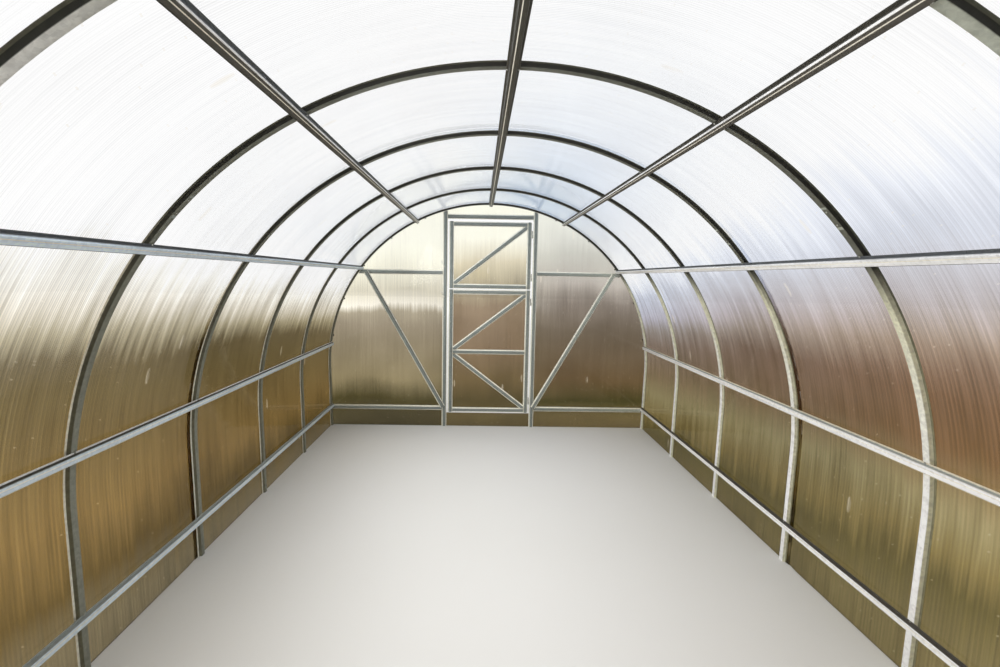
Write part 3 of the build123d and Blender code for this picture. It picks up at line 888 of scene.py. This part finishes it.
class GREENHOUSE_OT_wall_bars(bpy.types.Operator):
    """Finish the bars of both end walls and the frames of their leaves"""
    bl_idname = "greenhouse.wall_bars"
    bl_label = "Wall bars"

    def execute(self, context):
        uprights = galvanised_steel("galvanised_steel_upright", POST_GRAIN, wall_tones)
        levels = galvanised_steel("galvanised_steel_rail", RAIL_GRAIN, wall_tones)
        dress(["doorway_posts"], uprights)
        bars = ["lintels", "girts", "bottom_rails", "wall_braces"]
        frames = [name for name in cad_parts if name.endswith("_frame")]
        dress(bars + frames, levels)
        soften(["doorway_posts"] + bars + frames, settings().steel.edge)
        return {"FINISHED"}


class GREENHOUSE_OT_roof_sheets(bpy.types.Operator):
    """Finish the two roof sheets"""
    bl_idname = "greenhouse.roof_sheets"
    bl_label = "Roof sheets"

    def execute(self, context):
        dress(["far_roof_sheet", "near_roof_sheet"],
              twin_wall("twin_wall_polycarbonate_roof", "Y", ROOF_LEFT, ROOF_RIGHT, ROOF_COVER))
        return {"FINISHED"}


class GREENHOUSE_OT_wall_sheets(bpy.types.Operator):
    """Finish the sheets of the end walls and their leaves"""
    bl_idname = "greenhouse.wall_sheets"
    bl_label = "Wall sheets"

    def execute(self, context):
        walls = [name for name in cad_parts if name.endswith(("_wall_left", "_wall_right"))]
        dress(walls,
              twin_wall("twin_wall_polycarbonate_end", "X", END_LEFT, END_RIGHT, WALL_COVER, WALL_DUST))
        dress(["far_door_sheet", "far_vent_sheet", "head_sheets", "sill_sheets"],
              twin_wall("twin_wall_polycarbonate_leaf", "X", LEAF, LEAF, WALL_COVER, WALL_DUST))
        dress(["near_door_sheet", "near_vent_sheet"],
              twin_wall("twin_wall_polycarbonate_open_leaf", "X", LEAF, LEAF, WALL_COVER, WALL_DUST, True))
        return {"FINISHED"}


class GREENHOUSE_OT_ironmongery(bpy.types.Operator):
    """Finish the hinges and the latch hooks"""
    bl_idname = "greenhouse.ironmongery"
    bl_label = "Hinges and hooks"

    def execute(self, context):
        dress([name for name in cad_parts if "hinge" in name or "hook" in name], zinc_plate())
        return {"FINISHED"}


class GREENHOUSE_OT_screws(bpy.types.Operator):
    """Add the screws, with rubber washers where they hold a sheet"""
    bl_idname = "greenhouse.screws"
    bl_label = "Screws"

    def execute(self, context):
        steel, screws = settings().steel, settings().screws
        wall, door = wall_screws(steel), door_screws(steel)
        # The near leaves are folded back, so their inner faces lie at the edge of the house and get none
        near = [screw for screw in door if screw[2]]
        shift_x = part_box("near_door_sheet")[0].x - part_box("far_door_sheet")[0].x
        near_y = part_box("near_door_sheet")[1].y
        near = [((place[0] + shift_x, near_y, place[2]), normal, washer) for place, normal, washer in near]
        near_wall = [half_turned(screw) for screw in wall if not self.on_vent(screw)]
        sets = {
            "house": roof_screws(steel, screws) + purlin_screws(steel, screws) + wall + near_wall,
            "far_door": door, "near_door": near,
        }
        materials = [bpy.data.materials["zinc_plated_steel"], rubber()]
        for body, places in sets.items():
            mesh = bmesh.new()
            for place, normal, washer in places:
                pan_head(mesh, place, normal, screws, washer)
            name = f"{body}_screws"
            place_piece(finished_mesh(mesh, name, materials, sharp=35), name, body)
        return {"FINISHED"}

    def on_vent(self, screw):
        """Whether a screw of the far wall is on its closed upper leaf."""
        low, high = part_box("far_vent_frame")
        return low.x < screw[0][0] < high.x and low.z < screw[0][2] < high.z


class GREENHOUSE_OT_stage(bpy.types.Operator):
    """Set up the camera, the floor, the lamps and the world"""
    bl_idname = "greenhouse.stage"
    bl_label = "Stage"

    def execute(self, context):
        stage = settings().stage
        self.camera(context, stage)
        mesh = bmesh.new()
        bmesh.ops.create_grid(mesh, x_segments=1, y_segments=1, size=30)
        data = bpy.data.meshes.new("floor")
        mesh.to_mesh(data)
        mesh.free()
        data.materials.append(plain_floor())
        floor = bpy.data.objects.new("floor", data)
        context.scene.collection.objects.link(floor)
        self.lamp("overhead_lamp", stage.lamp, (9.0, 9.0), (-1.5, -1.5, 7.0), (0, 0, -1))
        # A low soft lamp within the house, for the bars of the side that the photograph shows brighter
        self.lamp("side_lamp", stage.side_lamp, (3.2, 0.5), (-0.75, -0.2, 1.55), (1, 0, -0.45))
        self.world(context, stage)
        context.scene.view_settings.view_transform = "Standard"
        return {"FINISHED"}

    def lamp(self, name, power, size, place, direction):
        """A soft rectangular lamp that no camera sees."""
        lamp = bpy.data.lights.new(name, "AREA")
        lamp.shape, lamp.energy = "RECTANGLE", power
        lamp.size, lamp.size_y = size
        holder = bpy.data.objects.new(name, lamp)
        turn = Vector(direction).to_track_quat("-Z", "Y").to_matrix().to_4x4()
        holder.matrix_world = Matrix.Translation(place) @ turn
        holder.visible_camera = False
        holder.visible_transmission = False
        bpy.context.scene.collection.objects.link(holder)

    def camera(self, context, stage):
        """Place the camera by its yaw, pitch and roll."""
        forward = Vector((
            -math.sin(stage.yaw) * math.cos(stage.pitch), math.cos(stage.yaw) * math.cos(stage.pitch),
            -math.sin(stage.pitch)))
        right = Vector((math.cos(stage.yaw), math.sin(stage.yaw), 0))
        up = right.cross(forward)
        across = right * math.cos(stage.roll) + up * math.sin(stage.roll)
        upward = up * math.cos(stage.roll) - right * math.sin(stage.roll)
        data = bpy.data.cameras.new("camera")
        data.lens, data.sensor_width = stage.lens, 36.0
        data.shift_x, data.shift_y = stage.shift_x, stage.shift_y
        data.clip_start = 0.01
        camera = bpy.data.objects.new("camera", data)
        turn = Matrix((across, upward, -forward)).transposed().to_4x4()
        camera.matrix_world = Matrix.Translation(stage.eye) @ turn
        context.scene.collection.objects.link(camera)
        context.scene.camera = camera

    def world(self, context, stage):
        """White where it is seen, mirrored or seen through a sheet, and a plain level elsewhere."""
        world = bpy.data.worlds.new("studio")
        world.use_nodes = True
        tree = world.node_tree
        tree.nodes.clear()
        light = add(tree, "ShaderNodeBackground", {"Color": (1, 1, 1, 1), "Strength": stage.level})
        backdrop = add(tree, "ShaderNodeBackground", {"Color": (1, 1, 1, 1), "Strength": 1.0})
        mixed = add(tree, "ShaderNodeMixShader", {
            0: seen_ray(tree), 1: light.outputs[0], 2: backdrop.outputs[0]})
        add(tree, "ShaderNodeOutputWorld", {"Surface": mixed.outputs[0]})
        context.scene.world = world


class GREENHOUSE_PT_panel(bpy.types.Panel):
    """Sidebar panel of the greenhouse"""
    bl_idname = "GREENHOUSE_PT_panel"
    bl_label = "Greenhouse"
    bl_space_type = "VIEW_3D"
    bl_region_type = "UI"
    bl_category = "Greenhouse"

    def draw(self, context):
        for group in ("steel", "sheet", "screws", "stage"):
            values = getattr(context.scene.greenhouse, group)
            box = self.layout.box()
            box.label(text=group.capitalize())
            for key in values.__annotations__:
                box.prop(values, key)
        for operator in OPERATORS:
            self.layout.operator(operator.bl_idname)


GROUPS = (GreenhouseSteel, GreenhouseSheet, GreenhouseScrews, GreenhouseStage, GreenhouseSettings)
OPERATORS = (
    GREENHOUSE_OT_arches, GREENHOUSE_OT_purlins, GREENHOUSE_OT_wall_bars, GREENHOUSE_OT_roof_sheets,
    GREENHOUSE_OT_wall_sheets, GREENHOUSE_OT_ironmongery, GREENHOUSE_OT_screws, GREENHOUSE_OT_stage,
)


def register():
    for cls in GROUPS + OPERATORS + (GREENHOUSE_PT_panel,):
        bpy.utils.register_class(cls)
    bpy.types.Scene.greenhouse = PointerProperty(type=GreenhouseSettings)


def unregister():
    del bpy.types.Scene.greenhouse
    for cls in reversed(GROUPS + OPERATORS + (GREENHOUSE_PT_panel,)):
        bpy.utils.unregister_class(cls)


def main():
    register()
    for operator in OPERATORS:
        group, name = operator.bl_idname.split(".")
        getattr(getattr(bpy.ops, group), name)()


if __name__ == "__main__":
    main()
